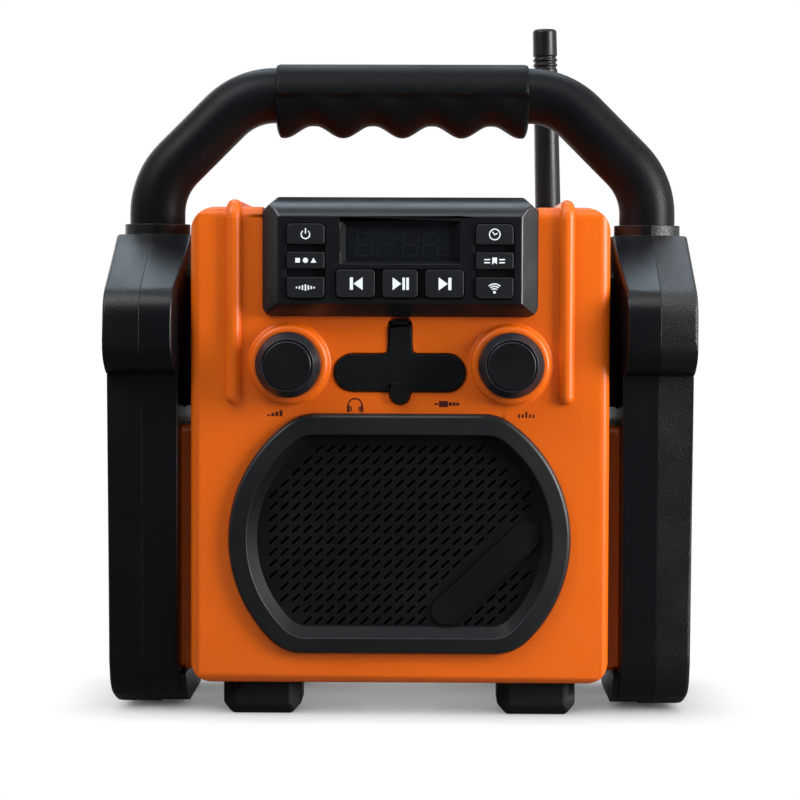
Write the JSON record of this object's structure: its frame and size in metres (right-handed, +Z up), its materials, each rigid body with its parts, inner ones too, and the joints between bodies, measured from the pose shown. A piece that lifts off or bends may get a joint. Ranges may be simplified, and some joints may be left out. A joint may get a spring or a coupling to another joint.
{
  "type": "jobsite radio",
  "caption": "Jobsite radio: moulded case with slotted speaker grille, display keys and knobs, side guards, bent tube handle with finger grip, folding antenna and battery door.",
  "frame": {"origin": "on the ground, under the middle of the object's box", "axes": "+X to the right seen from the front, +Y to the back, +Z up"},
  "size_m": [0.254, 0.156, 0.3085],
  "materials": {
    "orange_plastic": "moulded, satin",
    "black_plastic": "moulded, satin",
    "handle_black": "fine grain",
    "grip_rubber": "leather grain",
    "key_rubber": "fine grain",
    "knob_black": "satin",
    "cover_rubber": "matt",
    "antenna_rubber": "satin",
    "foot_rubber": "matt",
    "seal_rubber": "matt",
    "lens": "clear, slightly tinted",
    "lcd": "dull display",
    "board": "lacquered",
    "part_black": "moulded",
    "steel": "plated",
    "magnet": "pressed and plated",
    "cone": "pulp",
    "cloth": "fine weave",
    "cell": "printed sleeve"
  },
  "bodies": {
    "case": {"front_shell": "orange_plastic", "rear_shell": "orange_plastic", "shell_seal": "seal_rubber", "shell_screws": "steel", "feet": "foot_rubber", "foot_screws": "steel", "display_bezel": "black_plastic", "display_lens": "lens", "lcd_panel": "lcd", "key_board": "board", "key_switches": "steel", "volume_pot": "steel", "tuning_encoder": "steel", "control_nuts": "steel", "control_board": "board", "cover_pin": "steel", "headphone_jack": "part_black", "input_jack": "part_black", "grille_frame": "black_plastic", "speaker_grille": "black_plastic", "grille_cloth": "cloth", "speaker_basket": "magnet", "speaker_cone": "cone", "speaker_magnet": "magnet", "speaker_screws": "steel", "main_board": "board", "board_parts": "part_black", "battery_tray": "black_plastic", "battery_contacts": "steel", "battery_cells": "cell", "door_pin": "steel", "dc_socket": "part_black", "dc_pin": "steel", "left_guard_outer": "black_plastic", "left_guard_inner": "black_plastic", "right_guard_outer": "black_plastic", "right_guard_inner": "black_plastic", "guard_bolts": "steel", "handle_tube": "handle_black", "grip_sleeve": "grip_rubber", "antenna_base": "part_black", "antenna_pin": "steel"},
    "volume": {"volume_knob": "knob_black", "volume_shaft": "steel"},
    "tuning": {"tuning_knob": "knob_black", "tuning_shaft": "steel"},
    "jack_flap": {"jack_cover": "cover_rubber"},
    "antenna": {"antenna_mast": "antenna_rubber"},
    "door": {"battery_door": "orange_plastic"},
    "door_lock": {"door_screw": "part_black"},
    "dc_flap": {"dc_cover": "cover_rubber"},
    "key_power": {"key_power": "key_rubber"},
    "key_mode": {"key_mode": "key_rubber"},
    "key_scan": {"key_scan": "key_rubber"},
    "key_clock": {"key_clock": "key_rubber"},
    "key_memory": {"key_memory": "key_rubber"},
    "key_link": {"key_link": "key_rubber"},
    "key_previous": {"key_previous": "key_rubber"},
    "key_play": {"key_play": "key_rubber"},
    "key_next": {"key_next": "key_rubber"}
  },
  "joints": [
    {"name": "key_power_press", "type": "slide", "parent": "case", "child": "key_power", "axis": [0, 1, 0], "range_m": [0, 0.0008], "stiffness_N_per_m": 400, "springref_m": -0.001},
    {"name": "key_mode_press", "type": "slide", "parent": "case", "child": "key_mode", "axis": [0, 1, 0], "range_m": [0, 0.0008], "stiffness_N_per_m": 400, "springref_m": -0.001},
    {"name": "key_scan_press", "type": "slide", "parent": "case", "child": "key_scan", "axis": [0, 1, 0], "range_m": [0, 0.0008], "stiffness_N_per_m": 400, "springref_m": -0.001},
    {"name": "key_clock_press", "type": "slide", "parent": "case", "child": "key_clock", "axis": [0, 1, 0], "range_m": [0, 0.0008], "stiffness_N_per_m": 400, "springref_m": -0.001},
    {"name": "key_memory_press", "type": "slide", "parent": "case", "child": "key_memory", "axis": [0, 1, 0], "range_m": [0, 0.0008], "stiffness_N_per_m": 400, "springref_m": -0.001},
    {"name": "key_link_press", "type": "slide", "parent": "case", "child": "key_link", "axis": [0, 1, 0], "range_m": [0, 0.0008], "stiffness_N_per_m": 400, "springref_m": -0.001},
    {"name": "key_previous_press", "type": "slide", "parent": "case", "child": "key_previous", "axis": [0, 1, 0], "range_m": [0, 0.0008], "stiffness_N_per_m": 400, "springref_m": -0.001},
    {"name": "key_play_press", "type": "slide", "parent": "case", "child": "key_play", "axis": [0, 1, 0], "range_m": [0, 0.0008], "stiffness_N_per_m": 400, "springref_m": -0.001},
    {"name": "key_next_press", "type": "slide", "parent": "case", "child": "key_next", "axis": [0, 1, 0], "range_m": [0, 0.0008], "stiffness_N_per_m": 400, "springref_m": -0.001},
    {"name": "volume_turn", "type": "hinge", "parent": "case", "child": "volume", "pos_m": [-0.0475, 0, 0.1523], "axis": [0, 1, 0], "range_deg": [0, 300]},
    {"name": "tuning_turn", "type": "hinge", "parent": "case", "child": "tuning", "pos_m": [0.0475, 0, 0.1523], "axis": [0, 1, 0], "continuous": true},
    {"name": "jack_flap_lift", "type": "hinge", "parent": "case", "child": "jack_flap", "pos_m": [0, -0.0579, 0.17015], "axis": [-1, 0, 0], "range_deg": [0, 85]},
    {"name": "antenna_fold", "type": "hinge", "parent": "case", "child": "antenna", "pos_m": [0.0696, 0.0718, 0.1918], "axis": [0, -1, 0], "range_deg": [0, 90]},
    {"name": "door_swing", "type": "hinge", "parent": "case", "child": "door", "pos_m": [0, 0.0578, 0.0292], "axis": [-1, 0, 0], "range_deg": [0, 100]},
    {"name": "door_lock_turn", "type": "hinge", "parent": "door", "child": "door_lock", "pos_m": [0, 0.059, 0.086], "axis": [0, 1, 0], "range_deg": [0, 90]},
    {"name": "dc_flap_lift", "type": "hinge", "parent": "case", "child": "dc_flap", "pos_m": [-0.0742, 0.0608, 0.118], "axis": [1, 0, 0], "range_deg": [0, 120]}
  ]
}
